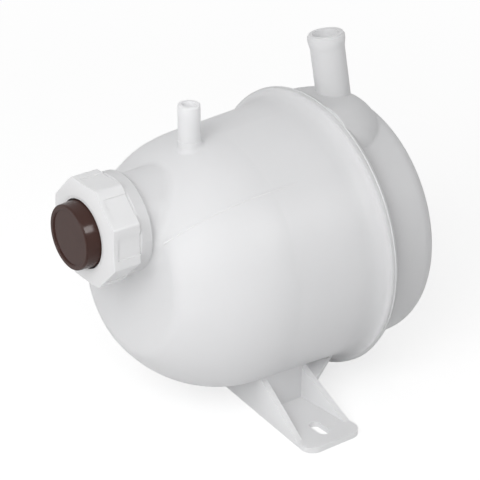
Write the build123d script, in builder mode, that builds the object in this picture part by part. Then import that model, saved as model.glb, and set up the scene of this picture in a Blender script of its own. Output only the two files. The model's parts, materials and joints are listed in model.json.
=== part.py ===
import os
from math import asin, atan2, cos, degrees, radians, sin, sqrt, tan

from build123d import *

# Coolant expansion tank standing on its mounting feet, in millimetres.
# The barrel lies along Y, with the filler neck towards -Y and the hose stub on the back half.
# The origin is midway between the two mounting slots, on the underside of the feet.

# Barrel: two moulded half shells, welded flange to flange
axis_height = 80.0            # barrel axis above the underside of the feet
seam_y = 47.5                 # weld plane behind the middle of the feet
wall = 3.0
front_dome_radius = 71.5
front_dome_distance = 60.0    # from the weld plane to the front dome's centre
front_draft = 2.4             # degrees
face_cut = 14.5               # depth of the flat front face below the dome
face_tilt = 6.0               # degrees, upwards
face_edge = 9.0
rear_step = 1.6               # rear shell's radius below the front shell's, at the weld
rear_draft = 3.6              # degrees
rear_length = 27.9            # from the weld to the centre of the rear shell's rounded corner
rear_knuckle = 11.5
rear_crown = 150.0            # radius of the end
flange_out = 5.5              # stand-out of the weld flange
flange_half = 2.5             # thickness of each shell's half of the weld flange
flange_edge = 0.9
flange_step = 0.6             # rear half of the flange inside the front half

# Filler neck, parallel to the barrel's axis
neck_radius = 24.0
neck_below_crown = 8.8        # top of the neck below the top of the front dome
neck_bore_radius = 20.8
neck_reach = 77.0             # mouth in front of the front dome's centre
neck_root = 16.0              # where the neck starts, in front of the front dome's centre
neck_root_fillet = 8.0
thread_length = 10.0
collar_out = 3.4              # stand-out of the collar from the neck
collar_length = 8.0
collar_edge = 1.2

# Vent nipple on top of the front shell
nipple_forward = 77.0         # from the weld plane
nipple_radius = 6.0
nipple_bore_radius = 4.0
nipple_length = 21.9          # above the front dome
nipple_edge = 0.9
nipple_stop = 0.4             # stand-out of the hose stop at its root
nipple_stop_top = 2.0         # above the front dome
nipple_root_fillet = 2.0

# Hose stub on its post, on the rear shell
post_radius = 35.3
post_x = 6.0
post_back = 3.0               # from the weld plane
post_height = 5.5             # above the rear shell
post_edge = 22.0
post_root_fillet = 3.0
stub_x = 2.0
stub_back = 17.5
stub_lean_side = -0.135       # sideways run per unit of height
stub_lean_front = -0.073
stub_radius = 9.5
stub_bore_radius = 7.2
stub_length = 33.0            # above the post
bead_radius = 10.3
bead_land = 2.6
bead_lip = 1.4
bead_slope = 4.0

# Mounting feet under the front shell
foot_reach = 91.0             # from the middle to the tip
foot_width = 37.5             # at the tip
foot_root_width = 30.0        # under the barrel
foot_plate = 3.2
foot_corner = 7.0
gusset_wall = 3.2
gusset_end = 80.0             # where the gussets run out on the plates
gusset_start = 43.0           # where their top edges leave the barrel
gusset_start_height = 24.0
web_reach = 45.0              # outer face of the webs under the barrel
slot_centre = 76.0
slot_width = 6.5
slot_length = 14.0
buttress_out = 54.0           # where the buttresses meet the rear gusset
buttress_in = 36.0
buttress_back = 26.0
buttress_height = 15.0
buttress_thickness = 3.0

# Filler cap: a valve held against the neck by a ring nut
running_gap = 0.3
gasket_thickness = 2.0
gasket_inset = 0.4
cap_flange_thickness = 1.5
nut_lip = 4.5
nut_corner_radius = 29.8
nut_corner_round = 2.4
nut_cone_rise = 2.0           # of the nut's face towards its hole
nut_cone_land = 2.0           # flat ring around the hole
nut_back_gap = 0.4            # between the nut and the neck's collar
nut_hole_gap = 0.5
grip_width = 12.0
grip_depth = 0.6
cap_base_radius = 18.3
cap_front_radius = 17.6
cap_height = 8.0              # of the cap's face above the nut
cap_edge = 0.8
cap_rim = 2.2
cap_recess = 0.7
cap_roof = 4.0
vent_radius = 0.8
vent_count = 4
skirt_radius = 17.0
skirt_inner_radius = 14.4
skirt_depth = 17.5            # below the neck's mouth

# Pressure and vacuum valves inside the cap
seat_radius = 15.6
seat_thickness = 2.5
seat_hole_radius = 9.0
seal_thickness = 1.2
seal_inner_radius = 8.2
plate_radius = 12.4
plate_thickness = 2.2
spring_wire = 0.7             # radius
spring_mean_radius = 9.6
spring_turns = 5
end_gap = 0.05
hub_radius = 4.6
hub_height = 1.2
stem_radius = 1.5
stem_gap = 0.3
disc_radius = 6.0
disc_thickness = 1.3
bleed_radius = 0.7
bleed_circle = 3.3
bleed_count = 4
clip_radius = 3.4
clip_thickness = 1.2
stem_over = 0.8               # stem beyond the clip
light_wire = 0.3              # radius
light_mean_radius = 2.5
light_turns = 4
light_length = 5.5

axis_y = Axis((0, 0, axis_height), (0, 1, 0))
dome_y = seam_y - front_dome_distance
face_distance = front_dome_radius - face_cut
front_seam_radius = front_dome_radius / cos(radians(front_draft))
front_seam_radius = front_seam_radius + front_dome_distance * tan(radians(front_draft))
rear_radius = front_seam_radius - rear_step
flange_radius = front_seam_radius + flange_out
neck_z = axis_height + front_dome_radius - neck_below_crown - neck_radius
thread_radius = neck_radius
collar_radius = neck_radius + collar_out
mouth = (0, dome_y - neck_reach, neck_z)
nipple_top = front_dome_radius + nipple_length
post_top = rear_radius + post_height
neck_axis = Axis(mouth, (0, -1, 0))
# Sketches of the cap's pieces use X as radius and Y as distance out of the neck's mouth.
neck_section = Plane(origin=mouth, x_dir=(1, 0, 0), z_dir=(0, 0, -1))
neck_face = Plane(origin=mouth, x_dir=(1, 0, 0), z_dir=(0, -1, 0))
face_normal = Vector(0, -cos(radians(face_tilt)), sin(radians(face_tilt)))
dome_centre = Vector(0, dome_y, axis_height)
stub_direction = Vector(stub_lean_side, stub_lean_front, 1).normalized()
stub_base = Vector(stub_x, seam_y + stub_back, axis_height + post_top)
stub_face = Plane(origin=stub_base, x_dir=(1, 0, 0), z_dir=stub_direction)

flange_top = gasket_thickness + cap_flange_thickness
nut_front = flange_top + nut_lip
nut_back = nut_back_gap - thread_length
cap_front = nut_front + cap_height
seat_top = seat_thickness - skirt_depth
plate_bottom = seat_top + seal_thickness
plate_top = plate_bottom + plate_thickness
roof_bottom = cap_front - cap_roof


def front_body(inset):
    """Solid of the front shell, or of its inside when inset is the wall thickness."""
    radius = front_dome_radius - inset
    seam_radius = front_seam_radius - inset
    with BuildPart() as body:
        with BuildSketch(Plane.YZ):
            with BuildLine():
                arc = CenterArc((dome_y, axis_height), radius, 90 - front_draft, 90 + front_draft)
                Polyline(
                    arc @ 0,
                    (seam_y, axis_height + seam_radius),
                    (seam_y, axis_height),
                    arc @ 1,
                )
            make_face()
        revolve(axis=axis_y)
        face_origin = dome_centre + face_normal * (face_distance - inset)
        with BuildSketch(Plane(origin=face_origin, z_dir=face_normal)):
            Circle(front_dome_radius)
        extrude(amount=front_dome_radius, mode=Mode.SUBTRACT)
        face_rim = body.edges().filter_by(GeomType.CIRCLE).sort_by(Axis.Y)[0]
        fillet(face_rim, radius=face_edge)
    return body.part


def rear_body(inset):
    """Solid of the rear shell with the hose post, or of its inside when inset is the wall."""
    radius = rear_radius - inset / cos(radians(rear_draft))
    knuckle = rear_knuckle - inset
    crown = rear_crown - inset
    knuckle_height = radius - knuckle / cos(radians(rear_draft)) - rear_length * tan(radians(rear_draft))
    crown_back = rear_length - sqrt((crown - knuckle) ** 2 - knuckle_height ** 2)
    crown_angle = degrees(asin(knuckle_height / (crown - knuckle)))
    with BuildPart() as body:
        with BuildSketch(Plane.XY.offset(axis_height)):
            with Locations((post_x, seam_y + post_back)):
                Circle(post_radius - inset)
        extrude(amount=post_top - inset)
        post_rim = body.edges().filter_by(GeomType.CIRCLE).sort_by(Axis.Z)[-1]
        fillet(post_rim, radius=post_edge - inset)
        with BuildSketch(Plane.YZ):
            with BuildLine():
                bend = CenterArc(
                    (seam_y + rear_length, axis_height - knuckle_height),
                    knuckle,
                    rear_draft - 90,
                    90 - rear_draft - crown_angle,
                )
                end = CenterArc((seam_y + crown_back, axis_height), crown, -crown_angle, crown_angle)
                Polyline(
                    bend @ 0,
                    (seam_y - radius, axis_height - radius - radius * tan(radians(rear_draft))),
                    (seam_y - radius, axis_height),
                    end @ 1,
                )
            make_face()
        revolve(axis=axis_y)
        post_root = body.edges().filter_by(lambda e: e.geom_type == GeomType.BSPLINE)
        fillet(post_root, radius=post_root_fillet + inset)
        with BuildSketch(Plane.XZ.offset(-seam_y)):
            with Locations((0, axis_height)):
                Rectangle(4 * radius, 4 * radius)
        extrude(amount=2 * radius, mode=Mode.SUBTRACT)
    return body.part


os.makedirs("parts", exist_ok=True)

# Front shell: barrel, filler neck, vent nipple, mounting feet and its half of the weld flange
with BuildPart() as front_shell:
    add(front_body(0))
    with BuildSketch(neck_face.offset(neck_root - neck_reach)):
        Circle(neck_radius)
    extrude(amount=neck_reach - neck_root)
    neck_wall = front_shell.faces().filter_by(GeomType.CYLINDER).sort_by(Axis.Y)[0]
    neck_rim = neck_wall.edges().sort_by(Axis.Y)[0]
    root_edges = neck_wall.edges().filter_by(lambda e: e.geom_type != GeomType.LINE)
    fillet(root_edges - [neck_rim], radius=neck_root_fillet)
    with BuildSketch(neck_section):
        with Locations((0, -thread_length - collar_length / 2)):
            RectangleRounded(2 * collar_radius, collar_length, collar_edge)
        with Locations((-collar_radius, -thread_length - collar_length / 2)):
            Rectangle(2 * collar_radius, 2 * collar_length, mode=Mode.SUBTRACT)
    revolve(axis=neck_axis)

    # Vent nipple
    with BuildSketch(Plane.XY.offset(axis_height)):
        with Locations((0, seam_y - nipple_forward)):
            Circle(nipple_radius + nipple_stop)
    extrude(amount=front_dome_radius + nipple_stop_top)
    stop_wall = front_shell.faces().filter_by(GeomType.CYLINDER)
    stop_wall = stop_wall.filter_by(lambda f: f.radius == nipple_radius + nipple_stop)
    stop_edges = stop_wall[0].edges().filter_by(lambda e: e.geom_type != GeomType.LINE).sort_by(Axis.Z)
    fillet(stop_edges[0], radius=nipple_root_fillet)
    with BuildSketch(Plane.XY.offset(axis_height + front_dome_radius)):
        with Locations((0, seam_y - nipple_forward)):
            Circle(nipple_radius)
    extrude(amount=nipple_length)
    nipple_rim = front_shell.faces().filter_by(Axis.Z).sort_by(Axis.Z)[-1].edges()
    fillet(nipple_rim, radius=nipple_edge)

    # Weld flange
    with BuildSketch(Plane.XZ.offset(-seam_y)):
        with Locations((0, axis_height)):
            Circle(flange_radius)
    extrude(amount=flange_half)
    rims = front_shell.edges().filter_by(GeomType.CIRCLE).filter_by(lambda e: e.radius == flange_radius)
    fillet(rims.sort_by(Axis.Y)[0], radius=flange_edge)

    # Feet: gussets across under the barrel, webs, plates with slots, and buttresses behind
    splay = atan2((foot_width - foot_root_width) / 2, foot_reach - web_reach)
    gusset_y = foot_root_width / 2 - gusset_wall / 2 - web_reach * tan(splay)
    for side in (1, -1):
        for hand in (1, -1):
            along = (side * cos(splay), hand * sin(splay), 0)
            across = (hand * sin(splay), -side * cos(splay), 0)
            with BuildSketch(Plane(origin=(0, hand * gusset_y, 0), x_dir=along, z_dir=across)):
                with BuildLine():
                    Polyline(
                        (-gusset_wall, 0),
                        (gusset_end, 0),
                        (gusset_end, foot_plate),
                        (gusset_start, gusset_start_height),
                        (gusset_start, axis_height / 2),
                        (-gusset_wall, axis_height / 2),
                        close=True,
                    )
                make_face()
            extrude(amount=gusset_wall / 2, both=True)
    with BuildSketch(Plane.XY):
        with Locations((web_reach - gusset_wall / 2, 0), (gusset_wall / 2 - web_reach, 0)):
            Rectangle(gusset_wall, foot_root_width)
    extrude(amount=axis_height / 2)
    with BuildSketch(Plane.XY) as plates:
        with BuildLine():
            Polyline(
                (web_reach - gusset_wall, foot_root_width / 2),
                (web_reach, foot_root_width / 2),
                (foot_reach, foot_width / 2),
                (foot_reach, -foot_width / 2),
                (web_reach, -foot_root_width / 2),
                (web_reach - gusset_wall, -foot_root_width / 2),
                close=True,
            )
        make_face()
        tips = plates.vertices().sort_by(Axis.X)[-2:]
        fillet(tips, radius=foot_corner)
        mirror(about=Plane.YZ)
        with Locations((slot_centre, 0), (-slot_centre, 0)):
            SlotOverall(slot_length, slot_width, mode=Mode.SUBTRACT)
    extrude(amount=foot_plate)
    with BuildSketch(Plane.XY.offset(buttress_height)):
        with BuildLine():
            rear = foot_root_width / 2
            Polyline(
                (buttress_out, rear),
                (buttress_in, rear + buttress_back),
                (0, rear + buttress_back),
                (0, rear),
                close=True,
            )
        make_face()
        mirror(about=Plane.YZ)
    extrude(amount=buttress_thickness)

    # Inside
    add(front_body(wall), mode=Mode.SUBTRACT)
    with BuildSketch(neck_face):
        Circle(neck_bore_radius)
    extrude(amount=neck_root - neck_reach, mode=Mode.SUBTRACT)
    with BuildSketch(Plane.XY.offset(axis_height)):
        with Locations((0, seam_y - nipple_forward)):
            Circle(nipple_bore_radius)
    extrude(amount=nipple_top, mode=Mode.SUBTRACT)
front_shell.part.label = "front_shell"
export_step(front_shell.part, "parts/front_shell.step")

# Rear shell: dome, hose post and stub, and its half of the weld flange
with BuildPart() as rear_shell:
    add(rear_body(0))
    with BuildSketch(Plane.XZ.offset(-seam_y)):
        with Locations((0, axis_height)):
            Circle(flange_radius - flange_step)
    extrude(amount=-flange_half)
    rims = rear_shell.edges().filter_by(GeomType.CIRCLE)
    rims = rims.filter_by(lambda e: e.radius == flange_radius - flange_step)
    fillet(rims.sort_by(Axis.Y)[-1], radius=flange_edge)
    with BuildSketch(stub_face.offset(-post_edge)):
        Circle(stub_radius)
    extrude(amount=stub_length + post_edge)
    stub_section = Plane(origin=stub_face.origin, x_dir=stub_face.x_dir, z_dir=-stub_face.y_dir)
    with BuildSketch(stub_section):
        with BuildLine():
            Polyline(
                (0, stub_length - bead_lip - bead_land - bead_slope),
                (stub_radius, stub_length - bead_lip - bead_land - bead_slope),
                (bead_radius, stub_length - bead_lip - bead_land),
                (bead_radius, stub_length - bead_lip),
                (bead_radius - bead_lip, stub_length),
                (0, stub_length),
                close=True,
            )
        make_face()
    revolve(axis=Axis(stub_face.origin, stub_face.z_dir))
    add(rear_body(wall), mode=Mode.SUBTRACT)
    with BuildSketch(stub_face.offset(-post_edge)):
        Circle(stub_bore_radius)
    extrude(amount=stub_length + post_edge, mode=Mode.SUBTRACT)
rear_shell.part.label = "rear_shell"
export_step(rear_shell.part, "parts/rear_shell.step")

# Ring nut: octagonal, with a shallow grip hollow on each flat
with BuildPart() as cap_nut:
    with BuildSketch(neck_face.offset(nut_back)):
        RegularPolygon(nut_corner_radius, 8, rotation=22.5)
    extrude(amount=nut_front - nut_back)
    fillet(cap_nut.edges().filter_by(Axis.Y), radius=nut_corner_round)
    with BuildSketch(neck_section):
        with BuildLine():
            Polyline(
                (0, nut_back),
                (nut_corner_radius, nut_back),
                (nut_corner_radius, nut_front - nut_cone_rise),
                (cap_base_radius + nut_cone_land, nut_front),
                (0, nut_front),
                close=True,
            )
        make_face()
    revolve(axis=neck_axis, mode=Mode.INTERSECT)
    flat_distance = nut_corner_radius * cos(radians(22.5))
    with BuildSketch(neck_face.offset(nut_back)):
        with PolarLocations(flat_distance, 8):
            Rectangle(2 * grip_depth, grip_width)
    extrude(amount=nut_front - nut_back - 2 * nut_cone_rise, mode=Mode.SUBTRACT)
    with BuildSketch(neck_face.offset(nut_back)):
        Circle(thread_radius + running_gap)
    extrude(amount=flange_top - nut_back, mode=Mode.SUBTRACT)
    with BuildSketch(neck_face.offset(flange_top)):
        Circle(cap_base_radius + nut_hole_gap)
    extrude(amount=nut_lip, mode=Mode.SUBTRACT)
cap_nut.part.label = "cap_nut"
export_step(cap_nut.part, "parts/cap_nut.step")

# Gasket on the neck's mouth
with BuildPart() as neck_gasket:
    with BuildSketch(neck_face):
        Circle(thread_radius - gasket_inset)
        Circle(neck_bore_radius + gasket_inset, mode=Mode.SUBTRACT)
    extrude(amount=gasket_thickness)
neck_gasket.part.label = "neck_gasket"
export_step(neck_gasket.part, "parts/neck_gasket.step")

# Valve body: the brown cap, its clamped flange and its skirt inside the neck
with BuildPart() as valve_body:
    with BuildSketch(neck_section):
        with BuildLine():
            rim_inside = cap_front_radius - cap_rim
            Polyline(
                (0, cap_front - cap_recess),
                (rim_inside - cap_recess, cap_front - cap_recess),
                (rim_inside, cap_front),
                (cap_front_radius - cap_edge, cap_front),
                (cap_front_radius, cap_front - cap_edge),
                (cap_base_radius, flange_top),
                (thread_radius - gasket_inset, flange_top),
                (thread_radius - gasket_inset, gasket_thickness),
                (skirt_radius, gasket_thickness),
                (skirt_radius, -skirt_depth),
                (seat_radius, -skirt_depth),
                (seat_radius, seat_top),
                (skirt_inner_radius, seat_top),
                (skirt_inner_radius, roof_bottom),
                (0, roof_bottom),
                close=True,
            )
        make_face()
    revolve(axis=neck_axis)
    with BuildSketch(neck_section.offset(-cap_base_radius - running_gap)):
        with Locations((0, flange_top + nut_lip / 2)):
            Circle(vent_radius)
    vent = extrude(amount=cap_base_radius - vent_radius, mode=Mode.PRIVATE)
    for k in range(vent_count):
        add(vent.rotate(neck_axis, k * 360 / vent_count), mode=Mode.SUBTRACT)
valve_body.part.label = "valve_body"
export_step(valve_body.part, "parts/valve_body.step")

# Seat pressed into the end of the skirt
with BuildPart() as valve_seat:
    with BuildSketch(neck_face.offset(-skirt_depth)):
        Circle(seat_radius)
        Circle(seat_hole_radius, mode=Mode.SUBTRACT)
    extrude(amount=seat_thickness)
valve_seat.part.label = "valve_seat"
export_step(valve_seat.part, "parts/valve_seat.step")

# Rubber ring under the pressure plate
with BuildPart() as plate_seal:
    with BuildSketch(neck_face.offset(seat_top)):
        Circle(plate_radius)
        Circle(seal_inner_radius, mode=Mode.SUBTRACT)
    extrude(amount=seal_thickness)
plate_seal.part.label = "plate_seal"
export_step(plate_seal.part, "parts/plate_seal.step")

# Pressure plate, with a guide for the stem and bleed holes that the vacuum disc covers
with BuildPart() as pressure_plate:
    with BuildSketch(neck_face.offset(plate_bottom)):
        Circle(plate_radius)
    extrude(amount=plate_thickness)
    with BuildSketch(neck_face.offset(plate_top)):
        Circle(hub_radius)
    extrude(amount=hub_height)
    with BuildSketch(neck_face.offset(plate_bottom)):
        Circle(stem_radius + stem_gap)
        with PolarLocations(bleed_circle, bleed_count):
            Circle(bleed_radius)
    extrude(amount=plate_thickness + hub_height, mode=Mode.SUBTRACT)
pressure_plate.part.label = "pressure_plate"
export_step(pressure_plate.part, "parts/pressure_plate.step")

# Pressure spring between the plate and the cap's roof
spring_start = plate_top + spring_wire + end_gap
spring_rise = roof_bottom - plate_top - 2 * (spring_wire + end_gap)
with BuildPart() as pressure_spring:
    with BuildLine():
        coil = Helix(
            pitch=spring_rise / spring_turns,
            height=spring_rise,
            radius=spring_mean_radius,
            center=neck_face.offset(spring_start).origin,
            direction=neck_face.z_dir,
        )
    with BuildSketch(Plane(origin=coil @ 0, z_dir=coil % 0)):
        Circle(spring_wire)
    sweep()
pressure_spring.part.label = "pressure_spring"
export_step(pressure_spring.part, "parts/pressure_spring.step")

# Vacuum valve: a disc under the plate on a stem through it
disc_top = plate_bottom
stem_top = plate_top + hub_height + light_length + clip_thickness + stem_over
with BuildPart() as vacuum_valve:
    with BuildSketch(neck_face.offset(disc_top - disc_thickness)):
        Circle(disc_radius)
    extrude(amount=disc_thickness)
    with BuildSketch(neck_face.offset(disc_top)):
        Circle(stem_radius)
    extrude(amount=stem_top - disc_top)
vacuum_valve.part.label = "vacuum_valve"
export_step(vacuum_valve.part, "parts/vacuum_valve.step")

# Clip on the stem that holds the light spring
clip_bottom = plate_top + hub_height + light_length
with BuildPart() as stem_clip:
    with BuildSketch(neck_face.offset(clip_bottom)):
        Circle(clip_radius)
        Circle(stem_radius, mode=Mode.SUBTRACT)
    extrude(amount=clip_thickness)
stem_clip.part.label = "stem_clip"
export_step(stem_clip.part, "parts/stem_clip.step")

# Light spring that holds the vacuum disc shut
light_start = plate_top + hub_height + light_wire + end_gap
light_rise = light_length - 2 * (light_wire + end_gap)
with BuildPart() as vacuum_spring:
    with BuildLine():
        coil = Helix(
            pitch=light_rise / light_turns,
            height=light_rise,
            radius=light_mean_radius,
            center=neck_face.offset(light_start).origin,
            direction=neck_face.z_dir,
        )
    with BuildSketch(Plane(origin=coil @ 0, z_dir=coil % 0)):
        Circle(light_wire)
    sweep()
vacuum_spring.part.label = "vacuum_spring"
export_step(vacuum_spring.part, "parts/vacuum_spring.step")
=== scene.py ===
import json
import math

import bmesh
import bpy
from mathutils import Matrix, Vector


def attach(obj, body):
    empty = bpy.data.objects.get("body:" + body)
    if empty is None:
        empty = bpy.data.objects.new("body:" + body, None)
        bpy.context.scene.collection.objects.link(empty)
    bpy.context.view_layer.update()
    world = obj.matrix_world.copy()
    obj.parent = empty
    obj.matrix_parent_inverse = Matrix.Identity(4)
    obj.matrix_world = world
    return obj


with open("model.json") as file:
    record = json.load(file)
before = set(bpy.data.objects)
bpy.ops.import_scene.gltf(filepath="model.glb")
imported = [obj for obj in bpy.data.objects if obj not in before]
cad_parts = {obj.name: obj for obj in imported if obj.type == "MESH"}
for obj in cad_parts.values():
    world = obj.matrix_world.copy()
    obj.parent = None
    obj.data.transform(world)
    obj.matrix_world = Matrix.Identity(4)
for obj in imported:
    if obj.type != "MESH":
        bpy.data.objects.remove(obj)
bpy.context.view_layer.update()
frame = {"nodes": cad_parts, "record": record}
scene = bpy.context.scene
print("frame loaded:", len(frame["nodes"]), "nodes")

neckHeight = 0.1187     # of the neck's axis
white = (1.0, 1.0, 1.0, 1.0)


class Wire:
    # one socket of a node tree; sums and products of wires add Math nodes
    def __init__(self, tree, socket=None):
        self.tree = tree
        self.socket = socket

    def node(self, kind, inputs=None, out=0, **settings):
        made = self.tree.nodes.new(kind)
        for name, value in settings.items():
            setattr(made, name, value)
        for name, value in (inputs or {}).items():
            if isinstance(value, Wire):
                self.tree.links.new(value.socket, made.inputs[name])
            else:
                made.inputs[name].default_value = value
        return Wire(self.tree, made.outputs[out])

    def maths(self, operation, other=0.0):
        return self.node("ShaderNodeMath", {0: self, 1: other}, operation=operation)

    def __add__(self, other):
        return self.maths("ADD", other)

    def __sub__(self, other):
        return self.maths("SUBTRACT", other)

    def __mul__(self, other):
        return self.maths("MULTIPLY", other)

    __radd__ = __add__
    __rmul__ = __mul__

    def axis(self, name):
        return self.node("ShaderNodeSeparateXYZ", {"Vector": self}, out=name)

    def blend(self, dark, light):
        # this wire mixes from the dark colour to the light one
        # colours are inputs 6 and 7 and output 2 of the Mix node
        return self.node("ShaderNodeMix", {0: self, 6: dark, 7: light}, out=2, data_type="RGBA")

    def ramp(self, start, end):
        # 0 up to the start value, 1 from the end value on
        values = {"Value": self, "From Min": start, "From Max": end}
        return self.node("ShaderNodeMapRange", values, clamp=True)

    def noise(self, size, detail=3.0):
        # size is the spots' size in metres
        values = {"Vector": self, "Scale": 1.0 / size, "Detail": detail}
        return self.node("ShaderNodeTexNoise", values)


def emptyTree(owner):
    owner.use_nodes = True
    owner.node_tree.nodes.clear()
    return owner.node_tree


def newMaterial(name, fixed):
    material = bpy.data.materials.new(name)
    tree = emptyTree(material)
    output = tree.nodes.new("ShaderNodeOutputMaterial")
    shader = tree.nodes.new("ShaderNodeBsdfPrincipled")
    tree.links.new(shader.outputs[0], output.inputs[0])
    for socket, value in fixed.items():
        shader.inputs[socket].default_value = value
    place = Wire(tree).node("ShaderNodeTexCoord", out="Object")

    def plug(socket, wire):
        tree.links.new(wire.socket, shader.inputs[socket])

    return material, place, plug


def letThrough(material, colour, share):
    # part of the light passes through the wall
    tree = material.node_tree
    output = tree.nodes["Material Output"]
    solid = Wire(tree, output.inputs[0].links[0].from_socket)
    through = solid.node("ShaderNodeBsdfTranslucent", {"Color": colour})
    both = solid.node("ShaderNodeMixShader", {0: share, 1: solid, 2: through})
    tree.links.new(both.socket, output.inputs[0])


def bump(height, distance):
    return height.node("ShaderNodeBump", {"Height": height, "Distance": distance}, out="Normal")


# darkens a colour; the rear shell's copy of the milky plastic uses this as painted shade
def shaded(colour, shade):
    return tuple(channel * shade for channel in colour[:3]) + (1.0,)


tankLook = {
    "thin": (0.875, 0.877, 0.885, 1.0),
    "thick": (0.915, 0.916, 0.920, 1.0),
    "through": (0.95, 0.95, 0.955, 1.0),
    "throughShare": 0.40,   # of the light, through each face of a wall
    "fixed": {"IOR": 1.49, "Specular IOR Level": 0.35},
    "frontShade": 1.0,
    "rearPaintedShade": 0.92,      # painted shade: the rear half's colours are darkened to stand in for the shade that falls on it
    "satin": 0.36,          # least roughness of the moulded walls
    "fused": 0.12,          # and of the melted weld bead
    "roughSpread": 0.16,    # most that the patches add to it
    "roughPatch": 0.02,     # size of those patches, in metres
    "cloud": 0.055,         # size of the cloudy patches
    "grain": 0.0012,
    "grainDepth": 0.00002,
    "fineDetail": 2.0,      # detail of the cloud's and the grain's noise
    "threadStart": -0.0796,  # the neck's thread lies beyond this Y
    "threadReach": 0.022,   # and further than this from its axis
    "threadPitch": 0.004,
    "threadDepth": 0.0011,
}


def neckThread(place):
    # rounded helical waves round the neck's axis, from 0 to 1
    look = tankLook
    x, y = place.axis("X"), place.axis("Y")
    up = place.axis("Z") - neckHeight
    wave = up.maths("ARCTAN2", x) + y * (2.0 * math.pi / look["threadPitch"])
    crest = 0.5 + 0.5 * wave.maths("SINE")
    inFront = y.maths("LESS_THAN", look["threadStart"])
    reach = (x * x + up * up).maths("SQRT")
    return crest * inFront * reach.maths("GREATER_THAN", look["threadReach"])


def milkyPlastic(name, shade, roughness):
    look = tankLook
    material, place, plug = newMaterial(name, look["fixed"])
    cloud = place.noise(look["cloud"], look["fineDetail"])
    plug("Base Color", cloud.blend(shaded(look["thin"], shade), shaded(look["thick"], shade)))
    plug("Roughness", roughness + look["roughSpread"] * place.noise(look["roughPatch"]))
    grain = look["grainDepth"] * place.noise(look["grain"], look["fineDetail"])
    thread = look["threadDepth"] * neckThread(place)
    plug("Normal", bump(grain + thread, 1.0))  # both heights are in metres
    letThrough(material, shaded(look["through"], shade), look["throughShare"])
    return material


nutLook = {
    "dark": (0.725, 0.727, 0.735, 1.0),
    "light": (0.790, 0.790, 0.795, 1.0),
    "fixed": {
        "IOR": 1.49, "Specular IOR Level": 0.4, "Subsurface Weight": 0.15,
        "Subsurface Radius": (1.0, 1.0, 1.0), "Subsurface Scale": 0.003,
    },
    "cloud": (0.03, 2.0),               # size and detail of the noise
    "roughness": (0.34, 0.14),          # least, and most that the patches add
    "roughPatch": (0.012, 3.0),
    "grain": (0.0009, 2.0),
    "grainDepth": 0.000012,
}
valveLook = {
    "dark": (0.044, 0.020, 0.016, 1.0),
    "light": (0.058, 0.028, 0.023, 1.0),
    "fixed": {"IOR": 1.46, "Specular IOR Level": 0.16},
    "cloud": (0.012, 3.0),
    "roughness": (0.15, 0.06),
    "roughPatch": (0.006, 4.0),
    "grain": (0.0007, 2.0),
    "grainDepth": 0.00001,
}
rubberLook = {
    "dark": (0.012, 0.012, 0.013, 1.0),
    "light": (0.03, 0.03, 0.031, 1.0),
    "fixed": {"IOR": 1.5},
    "cloud": (0.004, 3.0),
    "roughness": (0.6, 0.2),
    "roughPatch": (0.002, 3.0),
    "grain": (0.0005, 2.0),
    "grainDepth": 0.00001,
}
steelLook = {
    "dark": (0.42, 0.42, 0.43, 1.0),
    "light": (0.6, 0.6, 0.6, 1.0),
    "fixed": {"Metallic": 1.0},
    "cloud": (0.003, 3.0),
    "roughness": (0.25, 0.15),
    "roughPatch": (0.001, 3.0),
}


def plainFinish(name, look):
    # cloudy colour, patchy gloss and, where the look has one, a fine grain
    material, place, plug = newMaterial(name, look["fixed"])
    plug("Base Color", place.noise(*look["cloud"]).blend(look["dark"], look["light"]))
    least, spread = look["roughness"]
    plug("Roughness", least + spread * place.noise(*look["roughPatch"]))
    if "grain" in look:
        plug("Normal", bump(place.noise(*look["grain"]), look["grainDepth"]))
    return material


finishes = {
    "tank_plastic": milkyPlastic("milkyPlastic", tankLook["frontShade"], tankLook["satin"]),
    "nut_plastic": plainFinish("nutWhite", nutLook),
    "valve_plastic": plainFinish("valveBrown", valveLook),
    "rubber": plainFinish("blackRubber", rubberLook),
    "spring_steel": plainFinish("springSteel", steelLook),
}
for entry in frame["record"]["subparts"]:
    mesh = frame["nodes"][entry["node"]].data
    mesh.materials.clear()
    mesh.materials.append(finishes[entry["material_slot"]])
# painted shade: the rear shell gets a darker copy of the milky plastic in place of the shade that
# falls on the rear
rearMesh = frame["nodes"]["rear_shell"].data
rearMesh.materials[0] = milkyPlastic("milkyPlasticRearPaintedShade", tankLook["rearPaintedShade"], tankLook["satin"])
print("finishes made:", len(finishes) + 1)

barrel = {
    "axisHeight": 0.080,
    "domeY": -0.0125,       # centre of the front dome
    "domeRadius": 0.0715,
    "draft": 2.4,           # degrees
}
meshing = {
    "join": 1e-6,           # corners nearer than this become one
    "sharp": 35.0,          # degrees between two faces that make their edge sharp
}


def meridian(y, radius, angle=90.0):
    # a point by its place along the barrel, its distance from the axis and its angle from +X
    turn = math.radians(angle)
    return Vector((radius * math.cos(turn), y, barrel["axisHeight"] + radius * math.sin(turn)))


def wallRadius(y):
    slope = math.radians(barrel["draft"])
    return barrel["domeRadius"] / math.cos(slope) + (y - barrel["domeY"]) * math.tan(slope)


def addObject(name, data):
    made = bpy.data.objects.new(name, data)
    scene.collection.objects.link(made)
    return made


def addPiece(name, shape, body, slot):
    bmesh.ops.remove_doubles(shape, verts=shape.verts, dist=meshing["join"])
    bmesh.ops.recalc_face_normals(shape, faces=shape.faces)
    for face in shape.faces:
        face.smooth = len(face.verts) == 4
    for edge in shape.edges:
        edge.smooth = edge.calc_face_angle(0.0) < math.radians(meshing["sharp"])
    data = bpy.data.meshes.new(name)
    shape.to_mesh(data)
    shape.free()
    piece = addObject(name, data)
    data.materials.append(finishes[slot])
    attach(piece, body)
    return piece


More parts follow.
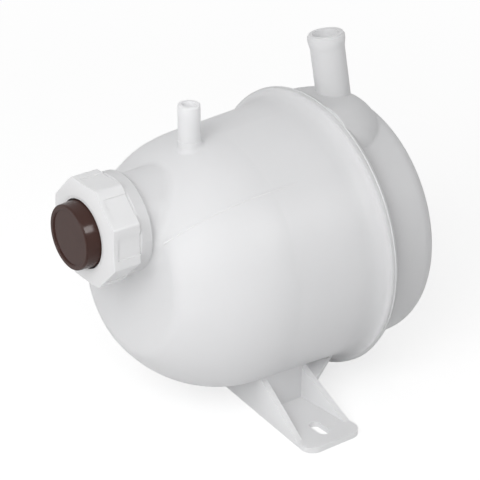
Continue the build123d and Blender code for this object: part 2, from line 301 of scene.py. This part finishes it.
partingRidge = {
    "angle": 50.5,          # of the mould's parting line, from the horizontal
    "halfWidth": 0.0006,
    "halfHeight": 0.00040,
    "sink": 0.00012,        # of its middle below the wall
    "start": 0.016,
    "fade": 0.7,            # degrees the start dives into the wall
    "sweep": 52.0,          # degrees over the dome
    "sides": 16,
    "steps": 40,
}


def ridgeOnSide(name, angle):
    # a fine bead along the wall and over the dome
    look = partingRidge
    slope = math.radians(barrel["draft"])
    bendY = barrel["domeY"] + barrel["domeRadius"] * math.sin(slope)
    bendRadius = barrel["domeRadius"] * math.cos(slope) - look["sink"]
    bend = meridian(bendY, bendRadius, angle)
    dive = math.radians(barrel["draft"] - look["fade"])
    firstRadius = bendRadius + (look["start"] - bendY) * math.tan(dive)
    first = meridian(look["start"], firstRadius, angle)

    outward = meridian(0.0, 1.0, angle) - meridian(0.0, 0.0, angle)
    hinge = Vector((0.0, 1.0, 0.0)).cross(outward)
    along = (bend - first).normalized()
    wide = hinge * look["halfWidth"]
    high = along.cross(hinge) * look["halfHeight"]
    oval = Matrix((wide, high, along)).transposed().to_4x4()

    shape = bmesh.new()
    bmesh.ops.create_circle(
        shape, cap_ends=True, segments=look["sides"], radius=1.0,
        matrix=Matrix.Translation(first) @ oval,
    )
    grown = bmesh.ops.extrude_face_region(shape, geom=shape.faces[:], use_keep_orig=True)["geom"]
    moved = [part for part in grown if isinstance(part, bmesh.types.BMVert)]
    bmesh.ops.translate(shape, verts=moved, vec=bend - first)
    ends = [part for part in grown if isinstance(part, bmesh.types.BMFace)]
    bmesh.ops.spin(
        shape, geom=ends, cent=meridian(barrel["domeY"], 0.0), axis=hinge,
        angle=math.radians(look["sweep"]), steps=look["steps"],
    )
    bmesh.ops.remove_doubles(shape, verts=shape.verts, dist=meshing["join"])
    # the bend keeps a cap inside the bead, which shares its edges with two more faces
    inner = [
        face for face in shape.faces
        if len(face.verts) > 4 and any(len(edge.link_faces) > 2 for edge in face.edges)
    ]
    bmesh.ops.delete(shape, geom=inner, context="FACES_ONLY")
    print(name, "inner faces removed:", len(inner))
    addPiece(name, shape, "tank", "tank_plastic")


ridgeOnSide("partingRidgeRight", partingRidge["angle"])
ridgeOnSide("partingRidgeLeft", 180.0 - partingRidge["angle"])

flangeFlare = {
    "start": 0.0335,        # where the wall begins to flare
    "sink": 0.0001,         # of its start below the wall
    "end": 0.0452,          # in front of the flange's rim
    "top": 0.0786,          # radius reached there
    "root": 0.0006,         # inside the wall
    "curveSteps": 10,
    "steps": 180,
}


def flareRing():
    # the wall's soft hollow sweep up to the weld flange
    look = flangeFlare
    low = meridian(look["start"], wallRadius(look["start"]) - look["sink"])
    high = meridian(look["end"], look["top"])
    back = meridian(look["end"], wallRadius(look["end"]) - look["root"])
    under = meridian(look["start"], wallRadius(look["start"]) - look["root"])
    corner = Vector((0.0, back.y, low.z))
    points = []
    for step in range(look["curveSteps"] + 1):
        part = step / look["curveSteps"]
        points.append(low.lerp(corner, part).lerp(corner.lerp(high, part), part))
    shape = bmesh.new()
    ring = [shape.verts.new(point) for point in points + [back, under]]
    loop = [shape.edges.new((ring[n - 1], ring[n])) for n in range(len(ring))]
    bmesh.ops.spin(
        shape, geom=ring + loop, cent=meridian(0.0, 0.0), axis=(0.0, 1.0, 0.0),
        angle=2.0 * math.pi, steps=look["steps"], use_merge=True,
    )
    addPiece("flangeFlare", shape, "tank", "tank_plastic")


flareRing()

weldBead = {
    "height": barrel["axisHeight"], "y": 0.0475, "radius": 0.0793,
    "bead": 0.0005, "sides": 12, "steps": 240,
}
capRimOuter = {
    "height": neckHeight, "y": -0.1051, "radius": 0.0172,
    "bead": 0.0003, "sides": 12, "steps": 96,
}
capRimInner = {
    "height": neckHeight, "y": -0.1051, "radius": 0.0151,
    "bead": 0.0003, "sides": 12, "steps": 96,
}


def beadRing(name, look, body, slot):
    # a fine rounded bead on a circle round the Y axis
    centre = Vector((0.0, look["y"], look["height"]))
    top = Matrix.Translation(centre + Vector((0.0, 0.0, look["radius"])))
    shape = bmesh.new()
    made = bmesh.ops.create_circle(
        shape, segments=look["sides"], radius=look["bead"],
        matrix=top @ Matrix.Rotation(math.pi / 2, 4, "Y"),
    )
    bmesh.ops.spin(
        shape, geom=made["verts"] + shape.edges[:], cent=centre, axis=(0.0, 1.0, 0.0),
        angle=2.0 * math.pi, steps=look["steps"], use_merge=True,
    )
    return addPiece(name, shape, body, slot)


fused = beadRing("weldBead", weldBead, "tank", "tank_plastic")
fused.data.materials[0] = milkyPlastic("fusedBead", tankLook["frontShade"], tankLook["fused"])
beadRing("capRimOuter", capRimOuter, "valve", "valve_plastic")
beadRing("capRimInner", capRimInner, "valve", "valve_plastic")
print("ridges, flare and beads made")


def lookAlong(holder, direction):
    holder.rotation_euler = direction.to_track_quat("-Z", "Y").to_euler()


cameraView = {
    "place": (0.781, -0.5765, 0.582),
    "towards": (-0.7147, 0.5307, -0.4555),
    "lens": 150.0,          # millimetres, as is the sensor
    "sensor": 36.0,
    "clipEnd": 20.0,
}
lens = bpy.data.cameras.new("photoCamera")
lens.lens = cameraView["lens"]
lens.sensor_width = cameraView["sensor"]
lens.clip_end = cameraView["clipEnd"]
camera = addObject("photoCamera", lens)
camera.location = cameraView["place"]
lookAlong(camera, Vector(cameraView["towards"]))
scene.camera = camera

studio = {
    "world": 0.56,
    "floorSize": 6.0,
    "floorColour": (0.8, 0.8, 0.8, 1.0),
    "floorGlow": 0.50,      # share of the floor's look that takes no shadow
    "floorWhite": 1.38,
    "fadeStart": 0.28,      # the floor turns to the background's white from here
    "fadeEnd": 0.80,
    "aim": (0.0, 0.0, 0.08),
    # name, place, size, power and whether it lights more than gloss
    "lamps": [
        ("key", (0.50, -0.80, 0.75), 0.8, 7.3, True),
        ("glint", (1.27, 0.54, 1.08), 0.6, 15.0, False),
    ],
}


def softLamp(name, place, size, power, lightsAll):
    lamp = bpy.data.lights.new(name, "AREA")
    lamp.shape = "DISK"
    lamp.size = size
    lamp.energy = power
    holder = addObject(name, lamp)
    holder.location = place
    lookAlong(holder, Vector(studio["aim"]) - Vector(place))
    holder.visible_camera = False
    holder.visible_diffuse = lightsAll
    holder.visible_transmission = lightsAll


for lampSettings in studio["lamps"]:
    softLamp(*lampSettings)


def seenDirectly(tree):
    # 1 for camera, glossy and transmission rays
    start = Wire(tree)
    seen = start.node("ShaderNodeLightPath", out="Is Camera Ray")
    glossy = start.node("ShaderNodeLightPath", out="Is Glossy Ray")
    through = start.node("ShaderNodeLightPath", out="Is Transmission Ray")
    return seen.maths("MAXIMUM", glossy.maths("MAXIMUM", through))


def plainGlow(wire, strength):
    return wire.node("ShaderNodeEmission", {"Color": white, "Strength": strength})


world = bpy.data.worlds.new("studioWorld")
scene.world = world
worldTree = emptyTree(world)
skySeen = seenDirectly(worldTree)
skyStrength = studio["world"] + (1.0 - studio["world"]) * skySeen
sky = skySeen.node("ShaderNodeBackground", {"Color": white, "Strength": skyStrength})
worldOut = worldTree.nodes.new("ShaderNodeOutputWorld")
worldTree.links.new(sky.socket, worldOut.inputs[0])

floorShape = bmesh.new()
bmesh.ops.create_grid(floorShape, x_segments=1, y_segments=1, size=studio["floorSize"] / 2)
floorData = bpy.data.meshes.new("floor")
floorShape.to_mesh(floorData)
floorShape.free()
floor = addObject("floor", floorData)
floorMaterial = bpy.data.materials.new("paleFloor")
floorTree = emptyTree(floorMaterial)
floorSeen = seenDirectly(floorTree)
matt = floorSeen.node("ShaderNodeBsdfDiffuse", {"Color": studio["floorColour"]})
bright = plainGlow(floorSeen, studio["floorWhite"])
glowShare = studio["floorGlow"] * floorSeen
near = floorSeen.node("ShaderNodeMixShader", {0: glowShare, 1: matt, 2: bright})
where = floorSeen.node("ShaderNodeTexCoord", out="Object")
reach = where.node("ShaderNodeVectorMath", {0: where}, out="Value", operation="LENGTH")
farShare = floorSeen * reach.ramp(studio["fadeStart"], studio["fadeEnd"])
far = plainGlow(floorSeen, 1.0)
faded = floorSeen.node("ShaderNodeMixShader", {0: farShare, 1: near, 2: far})
floorOut = floorTree.nodes.new("ShaderNodeOutputMaterial")
floorTree.links.new(faded.socket, floorOut.inputs[0])
floorData.materials.append(floorMaterial)
print("stage set")

scene.view_settings.view_transform = "Standard"
